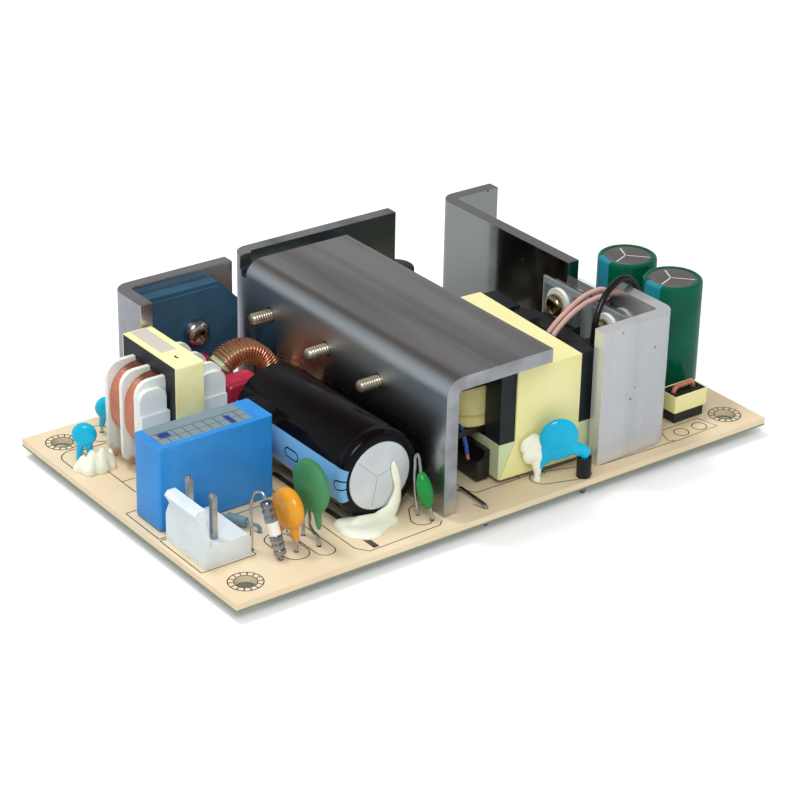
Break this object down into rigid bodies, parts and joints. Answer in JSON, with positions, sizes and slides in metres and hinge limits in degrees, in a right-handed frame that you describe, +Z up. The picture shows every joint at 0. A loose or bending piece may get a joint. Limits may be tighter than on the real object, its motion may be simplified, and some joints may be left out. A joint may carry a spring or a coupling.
{
  "type": "open frame power supply",
  "caption": "Open frame switching power supply: a bare circuit board with bent aluminium heatsinks, a transformer, chokes, capacitors and plug headers at both ends.",
  "frame": {"origin": "middle of the four mounting holes, on the underside of the board", "axes": "+X along the long edge from the mains header to the output header, +Y from the front edge to the back edge that the heatsinks' flanges stand on, +Z up out of the board"},
  "size_m": [0.127, 0.0762, 0.0342],
  "materials": {
    "board": "pale phenolic laminate with dark print",
    "solder": "bright tin",
    "sheet": "mill finish, lightly scratched",
    "rectifier_case": "dark slate moulding",
    "screw": "plated",
    "brass_screw": "yellow plated",
    "package": "black moulding",
    "pad": "grey insulating sheet",
    "can": "drawn can",
    "black_sleeve": "shrunk film",
    "green_sleeve": "shrunk film",
    "blue_case": "moulded box",
    "nylon": "clear white moulding",
    "pin": "tinned posts",
    "ceramic": "white tube",
    "cap_metal": "plated caps",
    "orange_coat": "dipped",
    "green_coat": "dipped",
    "bead_coat": "dipped",
    "red_coat": "dipped",
    "blue_coat": "dipped",
    "resistor_coat": "painted",
    "ferrite": "sintered dark ferrite",
    "yellow_tape": "polyester tape",
    "pale_tape": "polyester tape",
    "white_moulding": "white moulding",
    "black_moulding": "black moulding",
    "copper": "enamelled copper",
    "pale_ring": "painted powder core",
    "pink_lead": "insulated wire",
    "black_wire": "insulated wire",
    "glue": "set silicone"
  },
  "bodies": {
    "root": {"circuit_board": "board", "solder_joints": "solder", "rectifier_heatsink": "sheet", "bridge_rectifier": "rectifier_case", "rectifier_screw": "screw", "main_heatsink": "sheet", "transistors": "package", "transistor_pads": "pad", "transistor_screws": "screw", "bulk_capacitor": "can", "bulk_sleeve": "black_sleeve", "film_capacitor": "blue_case", "input_header": "nylon", "input_pins": "pin", "fuse_body": "ceramic", "fuse_caps": "cap_metal", "varistor": "orange_coat", "thermistor": "green_coat", "discharge_resistor": "resistor_coat", "front_disc_capacitor": "blue_coat", "left_disc_capacitor": "blue_coat", "corner_disc_capacitor": "blue_coat", "lead_sleeve": "black_moulding", "choke_core": "ferrite", "choke_tape": "yellow_tape", "choke_bobbin": "white_moulding", "choke_windings": "copper", "toroid_core": "pale_ring", "toroid_winding": "copper", "front_line_capacitor": "red_coat", "rear_line_capacitor": "red_coat", "transformer_core": "ferrite", "transformer_bobbin": "black_moulding", "transformer_pins": "pin", "transformer_winding": "yellow_tape", "transformer_band": "yellow_tape", "transformer_tape": "pale_tape", "output_heatsink": "sheet", "output_rectifiers": "package", "output_pad": "pad", "output_bushes": "white_moulding", "output_screws": "brass_screw", "secondary_leads": "pink_lead", "black_lead": "black_wire", "output_capacitors": "can", "output_sleeves": "green_sleeve", "output_choke_core": "ferrite", "output_choke_band": "yellow_tape", "output_choke_winding": "copper", "output_header": "nylon", "output_pins": "pin", "jumper_wire": "pin", "bead_capacitor": "bead_coat", "adhesive": "glue", "auxiliary_capacitor": "black_moulding", "optocoupler": "package", "control_chip": "package"}
  },
  "joints": []
}
